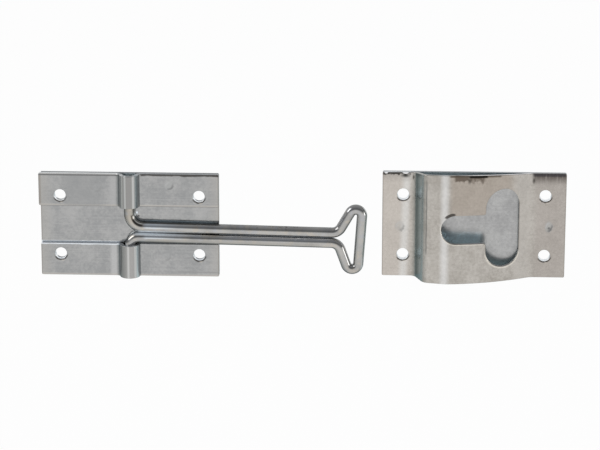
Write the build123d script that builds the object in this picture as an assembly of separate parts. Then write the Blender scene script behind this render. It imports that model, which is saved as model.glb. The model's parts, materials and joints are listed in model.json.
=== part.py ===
from build123d import *
import math
import os

# Trailer door hook and keeper, in millimetres.
# The two plates hang on a wall: their backs lie in the plane y = 0 and they face -Y, with +Z up.
# The origin is on the back of the hook plate, at its middle, straight behind the hinge axis.

# Sheet metal, shared by both fittings
sheet = 2.0
corner_radius = 0.7
edge_radius = 0.25
hole_diameter = 5.8
weld_dent_diameter = 3.0
weld_dent_depth = 0.12

# Hook plate and its two straps
hook_plate_width = 88.9
hook_plate_height = 52.4
hook_hole_inset_x = 9.85
hook_hole_inset_z = 11.2
strap_height = 16.6
upper_strap_overhang = 0.7
strap_weld_x = 18.5
strap_weld_rise = 1.4
soft_foot_radius = 2.2

# Wire hook: a bent rod whose two ends are the hinge pins
rod_diameter = 5.1
pin_clearance = 0.4
arm_gap = 0.18
arm_seat_clearance = 0.42
arm_droop = 1.0
upper_bend_radius = 6.5
lower_bend_radius = 4.8
upper_pin_recess = 3.5
lower_pin_recess = 1.0
pin_chamfer = 0.6

# T-shaped end of the hook
hook_reach = 114.75
head_depth = 11.0
head_lean = 4.0
upper_flare = 60.0
lower_flare = 70.0
flare_radius = 5.0
head_corner_radius = 3.1

# Keeper: its place beside the hook's end, its plate and its hump
keeper_gap = 10.8
keeper_z = 2.25
keeper_width = 90.5
keeper_height = 52.7
keeper_hole_inset_x = 10.2
keeper_hole_inset_z = 11.05
keeper_weld_inset = 8.25
keeper_weld_rise = -0.8
left_flange = 13.75
right_flange = 15.5
hump_height = 10.8
hump_splay = 6.0
left_foot_radius = 3.5
left_wall_angle = 64.0
shoulder_radius = 5.0
brow_angle = 10.0
brow_length = 7.0
crest_radius = 14.0
ramp_start_angle = 4.0
right_foot_radius = 8.0

# T-shaped slot in the hump, inset from the hump's two feet, with clearance for the hook's bar and arms
bar_slot_inset = 7.85
bar_slot_rise = 0.3
bar_clearance_across = 11.0
bar_clearance_along = 3.8
bar_slot_crown_shift = 1.25
bar_slot_left_straight = 1.8
stem_slot_inset = 15.3
stem_slot_rise = 0.0
stem_clearance = 4.1
slot_corner_radius = 1.2

# Values that follow from the sizes above
rod_radius = rod_diameter / 2
knuckle_inner_radius = rod_radius + pin_clearance
knuckle_outer_radius = knuckle_inner_radius + sheet
pin_depth = sheet + knuckle_inner_radius
front_depth = 2 * sheet
sharp_foot_radius = pin_depth - front_depth
half_pitch = (rod_diameter + arm_gap) / 2
keeper_left = hook_reach + keeper_gap
keeper_x = keeper_left + keeper_width / 2
hump_left = keeper_left + left_flange
hump_right = keeper_left + keeper_width - right_flange


def sine(angle):
    return math.sin(math.radians(angle))


def cosine(angle):
    return math.cos(math.radians(angle))


def walk(start, path):
    """Stations (x, depth, heading) along the front of a bent sheet, one list for each run or bend.

    A run is ("run", length). A bend is ("bend", radius, turn), where a positive turn is towards the front.
    """
    x, depth = start
    heading = 0.0
    stretches = []
    for step in path:
        stations = [(x, depth, heading)]
        if step[0] == "run":
            x += step[1] * cosine(heading)
            depth += step[1] * sine(heading)
            stations.append((x, depth, heading))
        else:
            radius, turn = step[1], step[2]
            side = math.copysign(radius, turn)
            centre_x = x - side * sine(heading)
            centre_depth = depth + side * cosine(heading)
            middle = heading + turn / 2
            heading += turn
            for angle in (middle, heading):
                x = centre_x + side * sine(angle)
                depth = centre_depth - side * cosine(angle)
                stations.append((x, depth, angle))
        stretches.append(stations)
    return stretches


def bent_sheet(start, path, bottom, height):
    """Sheet of even thickness whose front follows the path, standing from bottom up to bottom + height."""
    stretches = walk(start, path)

    def front_point(station):
        return (station[0], -station[1])

    def back_point(station):
        x, depth, heading = station
        return (x + sheet * sine(heading), -(depth - sheet * cosine(heading)))

    with BuildPart() as part:
        with BuildSketch(Plane.XY.offset(bottom)):
            with BuildLine():
                for place in (front_point, back_point):
                    for stations in stretches:
                        points = [place(station) for station in stations]
                        if len(points) == 2:
                            Line(*points)
                        else:
                            ThreePointArc(*points)
                for end in (stretches[0][0], stretches[-1][-1]):
                    Line(front_point(end), back_point(end))
            make_face()
        extrude(amount=height)
    return part.part


def round_rim(part, left, right, bottom, top):
    """Rounds the four corners of a sheet in the wall's plane, then the edges all round its rim."""
    corners = [
        edge
        for edge in part.edges()
        if min(abs(edge.center().X - left), abs(edge.center().X - right)) < corner_radius
        and min(abs(edge.center().Z - bottom), abs(edge.center().Z - top)) < corner_radius
    ]
    part = fillet(corners, corner_radius)
    across = 1.1 * sheet
    rim = [edge for edge in part.faces().sort_by(Axis.Z)[-1].edges() if edge.length > across]
    return fillet(rim, edge_radius)


def hole_places(centre_x, centre_z, width, height, inset_x, inset_z):
    """Middles (x, z) of the four screw holes of a plate, inset from its edges."""
    across = width / 2 - inset_x
    up = height / 2 - inset_z
    return [(centre_x + side * across, centre_z + level * up) for side in (-1, 1) for level in (-1, 1)]


def drill(part, places):
    """Drills screw holes through a sheet at each (x, z) and rounds their rims."""
    with BuildPart() as drill_bits:
        with BuildSketch(Plane.XZ):
            with Locations(*places):
                Circle(hole_diameter / 2)
        extrude(amount=front_depth, both=True)
    part = part - drill_bits.part
    rims = [
        edge
        for edge in part.edges().filter_by(GeomType.CIRCLE)
        if abs(edge.radius - hole_diameter / 2) < edge_radius and abs(edge.normal().Y) > cosine(1)
    ]
    return fillet(rims, edge_radius)


def dent(part, places):
    """Presses the shallow round mark of a spot weld into the front face at each (x, z)."""
    half = weld_dent_diameter / 2
    ball_radius = (half**2 + weld_dent_depth**2) / (2 * weld_dent_depth)
    for x, z in places:
        ball = Pos(x, -front_depth - ball_radius + weld_dent_depth, z) * Sphere(ball_radius)
        part = part - ball
    return part


def flat_plate(centre_x, centre_z, width, height, holes):
    """Back plate: a flat rectangle with screw holes, its back on the wall."""
    plate = Pos(centre_x, -sheet / 2, centre_z) * Box(width, sheet, height)
    left, right = centre_x - width / 2, centre_x + width / 2
    bottom, top = centre_z - height / 2, centre_z + height / 2
    return drill(round_rim(plate, left, right, bottom, top), holes)


def strap(bottom, left_overhang):
    """Strip with a half-round knuckle in its middle, lying on the front of the hook plate.

    The knuckle rises from a soft bend on its left and drops to a sharp one on its right.
    """
    left = -hook_plate_width / 2 - left_overhang
    right = hook_plate_width / 2
    reach = knuckle_outer_radius + soft_foot_radius
    left_turn = math.degrees(math.acos((front_depth + soft_foot_radius - pin_depth) / reach))
    path = [
        ("run", -reach * sine(left_turn) - left),
        ("bend", soft_foot_radius, left_turn),
        ("bend", knuckle_outer_radius, -left_turn - 90),
        ("bend", sharp_foot_radius, 90),
        ("run", right - knuckle_outer_radius - sharp_foot_radius),
    ]
    part = bent_sheet((left, front_depth), path, bottom, strap_height)
    part = round_rim(part, left, right, bottom, bottom + strap_height)
    part = drill(part, [(x, z) for x, z in hook_holes if bottom < z < bottom + strap_height])
    weld_z = bottom + strap_height / 2 + strap_weld_rise
    return dent(part, [(side * strap_weld_x, weld_z) for side in (-1, 1)])


def crossing(point_a, angle_a, point_b, angle_b):
    """Point where two lines meet, each given by a point and its direction in degrees."""
    across = point_b[0] - point_a[0]
    up = point_b[1] - point_a[1]
    along = (across * sine(angle_b) - up * cosine(angle_b)) / sine(angle_b - angle_a)
    return (point_a[0] + along * cosine(angle_a), point_a[1] + along * sine(angle_a))


def arm_point(x, side):
    """Point (x, z) on the middle line of the upper arm (side 1) or lower arm (side -1), or between them (0).

    The lower arm comes nearest to the lower strap at the edge of the hook plate.
    """
    slope = sine(arm_droop) / cosine(arm_droop)
    strap_top = strap_height - hook_plate_height / 2
    below_middle = (half_pitch + rod_radius) / cosine(arm_droop)
    middle_at_edge = strap_top + arm_seat_clearance + below_middle
    return (x, middle_at_edge + side * half_pitch / cosine(arm_droop) - (x - hook_plate_width / 2) * slope)


def head_points():
    """The two forks where the arms flare and the two corners of the T-shaped end."""
    bar_point = arm_point(hook_reach, 0)
    upper_fork = arm_point(hook_reach - head_depth, 1)
    lower_fork = arm_point(hook_reach - head_depth, -1)
    upper_corner = crossing(upper_fork, upper_flare, bar_point, 90 - head_lean)
    lower_corner = crossing(lower_fork, -lower_flare, bar_point, 90 - head_lean)
    return upper_fork, upper_corner, lower_corner, lower_fork


def bend_depth(corner_angle, tilt):
    """How far a rounded corner's outermost point lies inside its sharp corner, along Z.

    The tilt is the angle between the corner's bisector and Z.
    """
    return head_corner_radius * (cosine(tilt) / sine(corner_angle / 2) - 1)


def head_height():
    """Height of the T-shaped end over the outsides of its two rounded corners."""
    upper_corner, lower_corner = head_points()[1:3]
    cut_above = bend_depth(90 - upper_flare - head_lean, (90 - upper_flare + head_lean) / 2)
    cut_below = bend_depth(90 - lower_flare + head_lean, (90 - lower_flare - head_lean) / 2)
    return upper_corner[1] - lower_corner[1] - cut_above - cut_below + rod_diameter


def wire_hook():
    """Rod that runs from the upper pin out to the T-shaped end and back to the lower pin."""
    top_end = hook_plate_height / 2 - upper_pin_recess
    bottom_end = lower_pin_recess - hook_plate_height / 2
    corners = [(0, top_end), arm_point(0, 1), *head_points(), arm_point(0, -1), (0, bottom_end)]
    radii = [
        upper_bend_radius,
        flare_radius,
        head_corner_radius,
        head_corner_radius,
        flare_radius,
        lower_bend_radius,
    ]
    with BuildPart() as part:
        with BuildLine(Plane.XZ.offset(pin_depth)):
            route = FilletPolyline(*corners, radius=radii)
        with BuildSketch(Plane(origin=route @ 0, z_dir=route % 0)):
            Circle(rod_radius)
        sweep()
        chamfer(part.faces().filter_by(GeomType.PLANE).edges(), pin_chamfer)
    return part.part


def bar_slot_outline(left, right, bottom, top, left_curve):
    """Outline of the tall slot: a half-round lower end, and a crown to the right of the middle above.

    The crown is two quarter ellipses: the left one is as high as left_curve, the right one as half the width.
    """
    middle = (left + right) / 2
    half = (right - left) / 2
    crown = middle + bar_slot_crown_shift
    EllipticalCenterArc((crown, top - half), right - crown, half, 0, arc_size=90)
    EllipticalCenterArc((crown, top - left_curve), crown - left, left_curve, 90, arc_size=90)
    Line((left, top - left_curve), (left, bottom + half))
    CenterArc((middle, bottom + half), half, 180, 180)
    Line((right, bottom + half), (right, top - half))


def keeper_slot():
    """Cutter for the T-shaped slot: a tall slot for the hook's bar and a stem for its arms."""
    bar_slot_width = rod_diameter + bar_clearance_across
    bar_slot_height = head_height() + bar_clearance_along
    stem_slot_height = 2 * (half_pitch + rod_radius) + stem_clearance
    right = hump_right - bar_slot_inset
    throat = right - bar_slot_width
    bottom = keeper_z + bar_slot_rise - bar_slot_height / 2
    top = bottom + bar_slot_height
    stem_end = hump_left + stem_slot_inset + stem_slot_height / 2
    stem_z = keeper_z + stem_slot_rise
    left_curve = top - stem_z - stem_slot_height / 2 - slot_corner_radius - bar_slot_left_straight
    with BuildPart() as part:
        with BuildSketch(Plane.XZ):
            with BuildLine():
                bar_slot_outline(throat, right, bottom, top, left_curve)
            make_face()
            with Locations(((stem_end + throat + edge_radius) / 2, stem_z)):
                Rectangle(throat + edge_radius - stem_end, stem_slot_height)
            with Locations((stem_end, stem_z)):
                Circle(stem_slot_height / 2)
        extrude(amount=front_depth + 2 * hump_height)
    corners = [
        edge
        for edge in part.part.edges().filter_by(Axis.Y)
        if abs(edge.center().X - throat) < edge_radius
        and abs(abs(edge.center().Z - stem_z) - stem_slot_height / 2) < edge_radius
    ]
    return fillet(corners, slot_corner_radius)


def cut_slot(part):
    """Cuts the T-shaped slot and rounds its front and back edges."""
    cutter = keeper_slot()
    low, high = cutter.bounding_box().min, cutter.bounding_box().max
    part = part - cutter
    around = part.edges().filter_by_position(Axis.X, low.X - edge_radius, high.X + edge_radius)
    around = around.filter_by_position(Axis.Z, low.Z - edge_radius, high.Z + edge_radius)
    return fillet(around - around.filter_by(Axis.Y), edge_radius)


def hump_path():
    """Runs and bends of the keeper's sheet: a steep left wall and a long ramp between two flat flanges."""
    foot_rise = left_foot_radius * (1 - cosine(left_wall_angle))
    shoulder_rise = shoulder_radius * (cosine(brow_angle) - cosine(left_wall_angle))
    brow_rise = brow_length * sine(brow_angle)
    crest_rise = crest_radius * (1 - cosine(brow_angle))
    wall_rise = hump_height - foot_rise - shoulder_rise - brow_rise - crest_rise
    climb = [
        ("run", left_flange),
        ("bend", left_foot_radius, left_wall_angle),
        ("run", wall_rise / sine(left_wall_angle)),
        ("bend", shoulder_radius, brow_angle - left_wall_angle),
        ("run", brow_length),
        ("bend", crest_radius, -ramp_start_angle - brow_angle),
    ]
    ramp_x, ramp_depth = walk((keeper_left, front_depth), climb)[-1][-1][:2]
    ramp_fall = ramp_depth - front_depth
    fall_to_bend = ramp_fall - right_foot_radius * (1 - cosine(ramp_start_angle))
    run_to_bend = hump_right - ramp_x - right_foot_radius * sine(ramp_start_angle)
    ramp_end_angle = 2 * math.degrees(math.atan2(fall_to_bend, run_to_bend)) - ramp_start_angle
    arc_fall = ramp_fall - right_foot_radius * (1 - cosine(ramp_end_angle))
    ramp_radius = arc_fall / (cosine(ramp_start_angle) - cosine(ramp_end_angle))
    descent = [
        ("bend", ramp_radius, ramp_start_angle - ramp_end_angle),
        ("bend", right_foot_radius, ramp_end_angle),
        ("run", right_flange),
    ]
    return climb + descent


def splayed_block():
    """Block that grows taller towards the front, from the keeper's height where its front sheet begins."""
    slope = sine(hump_splay) / cosine(hump_splay)
    front = front_depth + 2 * hump_height
    back_half = keeper_height / 2 - sheet * slope
    front_half = back_half + front * slope
    outline = [(0, back_half), (-front, front_half), (-front, -front_half), (0, -back_half)]
    with BuildPart() as part:
        with BuildSketch(Plane.YZ.offset(keeper_left - sheet)):
            with BuildLine():
                Polyline(*[(y, keeper_z + z) for y, z in outline], close=True)
            make_face()
        extrude(amount=keeper_width + 2 * sheet)
    return part.part


def keeper_front():
    """Sheet pressed into a hump, with the T-shaped slot in it and two flat flanges on the back plate.

    The hump's upper and lower edges splay outwards, so that it is a little taller than the flanges.
    """
    bottom = keeper_z - keeper_height / 2
    spare = hump_height
    part = bent_sheet((keeper_left, front_depth), hump_path(), bottom - spare, keeper_height + 2 * spare)
    part = part & splayed_block()
    part = round_rim(part, keeper_left, keeper_left + keeper_width, bottom, bottom + keeper_height)
    part = drill(cut_slot(part), keeper_holes)
    weld_side = keeper_width / 2 - keeper_weld_inset
    return dent(part, [(keeper_x + side * weld_side, keeper_z + keeper_weld_rise) for side in (-1, 1)])


hook_holes = hole_places(0, 0, hook_plate_width, hook_plate_height, hook_hole_inset_x, hook_hole_inset_z)
keeper_holes = hole_places(
    keeper_x, keeper_z, keeper_width, keeper_height, keeper_hole_inset_x, keeper_hole_inset_z
)
pieces = {
    "hook_back_plate": flat_plate(0, 0, hook_plate_width, hook_plate_height, hook_holes),
    "upper_strap": strap(hook_plate_height / 2 - strap_height, upper_strap_overhang),
    "lower_strap": strap(-hook_plate_height / 2, 0),
    "wire_hook": wire_hook(),
    "keeper_back_plate": flat_plate(keeper_x, keeper_z, keeper_width, keeper_height, keeper_holes),
    "keeper_front": keeper_front(),
}

os.makedirs("parts", exist_ok=True)
for node, shape in pieces.items():
    export_step(shape, f"parts/{node}.step")
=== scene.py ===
"""Looks of the trailer door hook and keeper: zinc-plated sheet and wire on a plain white floor.

Marks on the metal are placed in millimetres along the part's own axes. A rise is written as the place where
it starts and the place where it is full, a band as its two edges and the distance over which it fades outside
them, a spot as its middle (x, z) and its reach (x, z), and a coat as a colour with its strength.
"""

import json
import math

import bpy
from mathutils import Matrix, Vector


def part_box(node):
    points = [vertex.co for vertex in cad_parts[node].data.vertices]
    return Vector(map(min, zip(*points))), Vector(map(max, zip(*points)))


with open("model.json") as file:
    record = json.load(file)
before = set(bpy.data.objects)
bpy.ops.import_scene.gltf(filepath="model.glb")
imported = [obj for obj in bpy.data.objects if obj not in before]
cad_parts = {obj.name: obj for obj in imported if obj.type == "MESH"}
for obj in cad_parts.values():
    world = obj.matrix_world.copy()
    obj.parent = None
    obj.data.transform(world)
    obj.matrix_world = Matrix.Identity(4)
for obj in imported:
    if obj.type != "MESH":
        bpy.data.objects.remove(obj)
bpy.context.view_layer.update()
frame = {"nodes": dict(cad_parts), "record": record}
nodes = frame["nodes"]
millimetres = 1000.0


def node_span(node, axis):
    """Lowest and highest place of a node along axis 0, 1 or 2, in millimetres."""
    lowest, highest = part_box(node)
    return lowest[axis] * millimetres, highest[axis] * millimetres


def screw_holes(mount_name):
    """The four holes of a screw pattern, each as x, z and radius in millimetres."""
    mount = next(mount for mount in frame["record"]["mounts"] if mount["name"] == mount_name)
    middle_x = mount["pos_m"][0] * millimetres
    middle_z = mount["pos_m"][2] * millimetres
    half_width = mount["dims"]["spacing_x_mm"] / 2
    half_height = mount["dims"]["spacing_y_mm"] / 2
    radius = mount["dims"]["hole_r_mm"]
    return [
        (middle_x + side * half_width, middle_z + end * half_height, radius)
        for end in (1, -1)
        for side in (-1, 1)
    ]


def coat(red, green, blue, strength):
    """A colour and how far it hides what lies under it."""
    return (red, green, blue, 1.0), strength


def grey_coat(level, strength):
    return coat(level, level, level, strength)


# Camera, fitted to the plates' edges and screw holes in the photograph
view_elevation = math.radians(15.5)
view_azimuth = math.radians(2.451)
view_roll = math.radians(0.082)
view_distance = 1.34345
view_target = Vector((0.084625, 0.0, -0.000017))
focal_length = 162.02
sensor_width = 36.0
nearest_seen = 0.01
farthest_seen = 100.0

# Floor, card and lamps, in metres and watts
middle_of_part = (0.085, 0.0, 0.0)
floor_level = -0.25
floor_width = 40.0
floor_grey = 0.9
white_share = 0.97
card_level = floor_level + 0.01
card_width = 6.0
key_lamp_middle = (-1.2, -0.5, 0.9)
key_lamp_size = (0.9, 0.9)
key_lamp_watts = 6.0
side_lamp_middle = (1.55, -0.4, 0.14)
side_lamp_size = (0.7, 0.5)
side_lamp_watts = 2.75

# Shades of the card, from behind by the left, the front and the right to behind again
card_shades = [
    (0.0, (0.58, 0.60, 0.61, 1.0)),
    (0.11, (0.38, 0.43, 0.43, 1.0)),
    (0.17, (0.36, 0.41, 0.41, 1.0)),
    (0.25, (0.55, 0.58, 0.58, 1.0)),
    (0.33, (0.70, 0.72, 0.72, 1.0)),
    (0.39, (0.88, 0.89, 0.89, 1.0)),
    (0.44, (1.0, 1.0, 1.0, 1.0)),
    (0.56, (1.0, 1.0, 1.0, 1.0)),
    (0.64, (0.97, 0.97, 0.97, 1.0)),
    (0.71, (0.76, 0.78, 0.78, 1.0)),
    (0.79, (0.58, 0.62, 0.62, 1.0)),
    (0.87, (0.48, 0.53, 0.53, 1.0)),
    (1.0, (0.58, 0.60, 0.61, 1.0)),
]

# Shades of the world, from level in front by overhead to level behind
world_shades = [
    (0.0, (0.85, 0.85, 0.85, 1.0)),
    (0.05, (0.50, 0.51, 0.52, 1.0)),
    (0.12, (0.24, 0.25, 0.26, 1.0)),
    (0.20, (0.18, 0.185, 0.195, 1.0)),
    (0.32, (0.30, 0.31, 0.325, 1.0)),
    (0.60, (0.44, 0.45, 0.47, 1.0)),
    (0.86, (0.70, 0.71, 0.72, 1.0)),
    (0.91, (0.98, 0.98, 0.98, 1.0)),
    (1.0, (1.0, 1.0, 1.0, 1.0)),
]

# Sizes of the part, from the frame
sheet = -node_span("keeper_back_plate", 1)[0]
plate_right = node_span("hook_back_plate", 0)[1]
upper_strap_bottom = node_span("upper_strap", 2)[0]
lower_strap_bottom, lower_strap_top = node_span("lower_strap", 2)
keeper_left, keeper_right = node_span("keeper_back_plate", 0)
hook_holes = screw_holes("hook_plate_screws")
keeper_holes = screw_holes("keeper_screws")

# Sizes of the part that no box shows
hump_left = 139.3
hump_right = 200.55
crest_x = 156.2
splay_slope = math.tan(math.radians(6.0))
stem_end_x = 161.84
stem_z = 2.25
stem_radius = 7.24
bar_slot_x = 184.65
bar_slot_radius = 8.05
lower_lobe_z = -9.5
arm_slope = math.tan(math.radians(1.0))
arm_gap_z = -3.21
bend_middle = (6.5, 5.8)

# Directions that a surface faces, as rises along its normal
facing_up = (0.55, 0.85)
not_facing_up = (0.75, 0.45)
facing_front = (-0.4, -0.7)
facing_back = (0.25, 0.6)
facing_left = (-0.60, -0.88)

# Rolled sheet: clouds and grain, with the shares that they have in its shade, roughness and height
cloud_noise = {"scale": 11.0, "detail": 4.0, "roughness": 0.6}
mottle_noise = {"scale": 1.4, "detail": 3.0, "roughness": 0.65}
streak_noise = {"scale": 0.7, "stretch": (50.0, 1.0, 1.0)}
grain_noise = {"scale": 0.35}
cloud_shade = 0.6
mottle_shade = 0.4
shade_rise = (0.34, 0.66)
streak_rise = (0.45, 0.75)
streak_gain = 1.12
streak_strength = 0.3
cloud_roughness = (-0.05, 0.05)
grain_roughness = (-0.03, 0.03)
sheared_roughness = 0.15
grain_height = 0.5
cloud_height = 4.0
streak_height = 0.3
cloud_weather = 0.4
mottle_weather = 0.6
sheet_bump = 0.000012
sheet_edge_tint = (0.88, 0.92, 0.95, 1.0)
warm_rim = (0.26, 0.225, 0.19)
end_rim = (0.75, 0.15)

# Insides of the knuckles and the hump: painted light that brightens these hollows
inside_painted_light = (0.88, 0.94, 0.96)
inside_light_coat = coat(*inside_painted_light, 1.0)
inside_roughness = 0.35

# Screw holes: rim and wall are measured outwards from the hole's edge
rim_rise = (0.95, 0.6)
rim_raggedness = 0.35
rim_lean = 0.15
rim_lower_side = (0.4, 2.2)
rim_coat = coat(0.05, 0.045, 0.04, 0.85)
# Painted glint under each hole
hole_glint_right = 0.9
hole_glint_drop = 0.75
hole_glint_reach = (1.3, 0.45)
hole_glint_coat = coat(0.62, 0.57, 0.50, 0.7)
# Painted reflection: each hole's wall is painted fully bright
hole_wall_rise = (0.12, 0.04)
hole_wall_reflection_coat = grey_coat(1.0, 1.0)

# Spot welds: rings are measured in shares of the reach, and each weld has a middle, a reach and a strength
weld_raggedness = 0.3
weld_patch_rise = (1.2, 0.6)
weld_patch_coat = coat(0.40, 0.41, 0.405, 0.6)
weld_ring = (0.55, 0.70, 0.25)
# Painted shade on one side of each weld's ring and painted highlight on the other
weld_shade_side = (0.0, 0.9)
weld_shade_coat = grey_coat(0.13, 0.75)
weld_highlight_side = (-0.2, -0.9)
weld_highlight_coat = grey_coat(0.50, 0.5)
strap_weld_reach = (2.6, 2.4)
upper_strap_welds = [((19.9, 20.3), strap_weld_reach, 0.7), ((-16.0, 18.8), strap_weld_reach, 0.25)]
lower_strap_welds = [((18.4, -16.4), strap_weld_reach, 0.35), ((-18.6, -16.9), strap_weld_reach, 0.2)]
keeper_welds = [((134.4, 1.2), (2.6, 3.0), 0.5), ((207.9, 1.7), (2.1, 2.9), 1.0)]
weld_dot = ((207.9, 1.0), (1.1, 0.9))
weld_dot_coat = grey_coat(0.08, 0.85)

# Sheets of the hook side
hook_sheet_dark = (0.315, 0.32, 0.322, 1.0)
hook_sheet_light = (0.42, 0.42, 0.415, 1.0)
warm_end = (7.45, 0.45)
warm_end_coat = coat(0.43, 0.42, 0.40, 0.6)
hook_rim_coat = coat(*warm_rim, 0.5)
burr_noise = {"scale": 1.1, "detail": 3.0, "stretch": (3.0, 1.0, 1.0)}
left_of_lower_knuckle = (-4.6, -5.6)

# Back plate of the hook side
back_plate_roughness = 0.17
back_plate_top_coat = grey_coat(0.16, 0.9)
# Painted shadow on the plate just under the upper strap's lower edge
strap_shadow_band = (upper_strap_bottom - 0.5, upper_strap_bottom, 0.3)
strap_shadow_coat = coat(0.25, 0.235, 0.22, 0.6)
# Painted highlight on the plate along the lower strap's upper edge, ragged at its edge
over_strap_raggedness = 0.3
over_strap_highlight_rise = (lower_strap_top + 0.9, lower_strap_top + 0.5)
over_strap_highlight_coat = coat(0.80, 0.84, 0.88, 0.85)
# Painted light on the plate behind the upper knuckle's hollow
behind_knuckle_x = (-2.8, 2.8, 0.4)
behind_knuckle_z = (22.0, 24.0)
behind_knuckle_light_coat = coat(*inside_painted_light, 0.9)
# Painted reflection of the rod on the plate behind it
rod_reflection_x = (12.0, 40.0, 5.0)
rod_reflection_z = (0.6, 1.9, 1.1)
rod_reflection_coat = coat(0.50, 0.57, 0.60, 0.8)
# Painted reflection of the upper bend on the plate: a glint and a dark spot
bend_glint = ((3.5, 5.9), (0.8, 1.1))
bend_glint_coat = coat(0.85, 0.92, 1.0, 0.9)
bend_dark_reflection = ((4.3, 4.2), (0.9, 0.7))
bend_dark_reflection_coat = grey_coat(0.02, 0.9)

# Straps and knuckles: painted knuckle shading levels for the whole knuckle, its left and right flank; painted
# highlight lines
strap_roughness = 0.22
foot_stripe_x = (-8.6, -7.4, 2.0)
foot_stripe_strength = 0.7
# Painted highlight along the strap's lower edge
strap_edge_highlight = (0.1, 0.7, 0.4)
strap_edge_highlight_coat = coat(0.50, 0.475, 0.44, 0.65)
knuckle_x = (-4.2, 4.2, 0.8)
knuckle_y = (-5.2, -6.0)
left_flank_x = (-2.1, -3.4)
right_flank_x = (2.4, 4.0)
warm_tint = (1.02, 1.0, 0.97)
cool_tint = (0.93, 1.03, 1.06)
knuckle_strength = 0.85
knuckle_highlight_half_width = 0.15
knuckle_highlight_fade = 0.7
knuckle_highlight_coat = coat(0.56, 0.56, 0.55, 0.9)
upper_knuckle_highlights = (-1.65, 2.5)
upper_knuckle_shading = (0.29, 0.62, 0.40)
upper_stripe_level = 0.44
lower_knuckle_highlights = (-0.35, 3.15)
lower_knuckle_shading = (0.37, 0.38, 0.72)
lower_stripe_level = 0.52

# Upper strap
right_of_upper_knuckle = (5.0, 6.4)
left_of_upper_knuckle = (-5.0, -6.4)
dull_left_x = (-30.0, -16.0, 6.0)
dull_left_coat = coat(0.30, 0.306, 0.308, 0.5)
# Painted shadow line under the upper edge, and painted highlight on the edge itself
edge_shadow_z = (24.8, 25.2)
edge_shadow_coat = grey_coat(0.16, 0.85)
edge_highlight_z = (25.75, 25.95)
edge_highlight_coat = coat(0.90, 0.89, 0.87, 0.95)
shear_noise = {"scale": 1.6, "detail": 3.0, "stretch": (3.0, 1.0, 1.0)}
shear_raggedness = 1.6
shear_z = (25.8, 26.2)
shear_coat = coat(0.045, 0.04, 0.035, 0.85)

# Lower strap
# Painted highlight along the lower strap's upper edge and on its top face
upper_edge_highlight_raggedness = 0.35
upper_edge_highlight_rise = (lower_strap_top - 0.9, lower_strap_top - 0.5)
upper_edge_highlight_coat = coat(0.84, 0.88, 0.93, 0.85)
lower_strap_top_highlight_coat = coat(0.95, 0.97, 1.0, 0.9)
faint_line_x = (18.0, 26.0)
faint_line_z = (-24.3, -23.9, 0.4)
faint_line_coat = grey_coat(0.29, 0.5)

# Back plate of the keeper, with painted light and painted shade where it shows inside the hump
keeper_back_dark = (0.35, 0.35, 0.35, 1.0)
keeper_back_light = (0.43, 0.43, 0.425, 1.0)
keeper_back_roughness = 0.22
under_hump_x = (hump_left + 1.0, hump_right - 1.0, 1.0)
# Painted light and shade on the plate inside the hump
below_stem_x = (176.0, 173.0)
below_stem_z = (-0.8, -3.6)
below_stem_light_coat = coat(0.74, 0.80, 0.83, 0.95)
stem_corner_x = (165.0, 157.0)
stem_corner_shade_coat = coat(0.42, 0.46, 0.48, 0.8)
speckle_noise = {"scale": 0.8}
speckle_rise = (0.46, 0.60)
speckle_light_coat = coat(0.86, 0.95, 1.0, 0.6)
below_bar_z = (-15.2, -17.4)
below_bar_shade_coat = coat(0.36, 0.40, 0.41, 0.95)
pocket_top_z = (22.0, 24.0)
pocket_top_shade_coat = coat(0.28, 0.325, 0.345, 1.0)
pocket_left_x = (177.0, 163.0)
pocket_left_light_coat = coat(0.52, 0.59, 0.61, 0.9)
keeper_back_weather = 0.25
keeper_back_top_coat = grey_coat(0.48, 0.9)

# Front of the keeper: tones from left to right, with painted highlights on a stripe, at the ramp's foot and
# on the crest
keeper_front_dark = (0.385, 0.36, 0.325, 1.0)
keeper_front_light = (0.48, 0.455, 0.42, 1.0)
keeper_front_roughness = 0.24
keeper_front_weather = 0.24
flange_x = (hump_left + 2.0, hump_left - 3.0)
flange_coat = coat(0.56, 0.515, 0.47, 0.8)
# Painted highlight stripe on the left flange
stripe_lean = -0.03
stripe_x = (136.5, 136.9, 3.0)
stripe_highlight_coat = coat(0.66, 0.645, 0.62, 0.9)
# Painted shade on the hump's steep left wall, lighter towards the brow
wall_shade_coat = coat(0.25, 0.31, 0.315, 0.9)
wall_light_x = (142.8, 145.0)
wall_light_coat = coat(0.50, 0.55, 0.55, 0.9)
scratch_noise = {"scale": 5.0, "roughness": 0.5}
scratch_wobble = 0.35
scratch_x = (147.2, 147.45, 0.3)
scratch_z = (-9.0, 25.0, 3.0)
scratch_coat = coat(0.16, 0.16, 0.15, 0.7)
# Painted highlight along the crest
crest_highlight_band = (crest_x - 0.1, crest_x + 0.2, 3.0)
crest_highlight_coat = coat(0.65, 0.64, 0.625, 0.95)
ramp_start_x = (157.5, 161.0)
ramp_end_x = (194.0, 186.0)
ramp_z = (-8.0, 14.0)
ramp_coat = coat(0.40, 0.35, 0.30, 0.75)
# Painted highlight at the ramp's foot
ramp_foot_x = (192.5, 197.0, 4.0)
ramp_foot_highlight_coat = coat(0.51, 0.48, 0.445, 0.7)
right_tone_x = (199.0, 203.0)
right_tone_coat = coat(0.42, 0.385, 0.355, 0.7)
keeper_rim_coat = coat(*warm_rim, 0.45)

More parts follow.
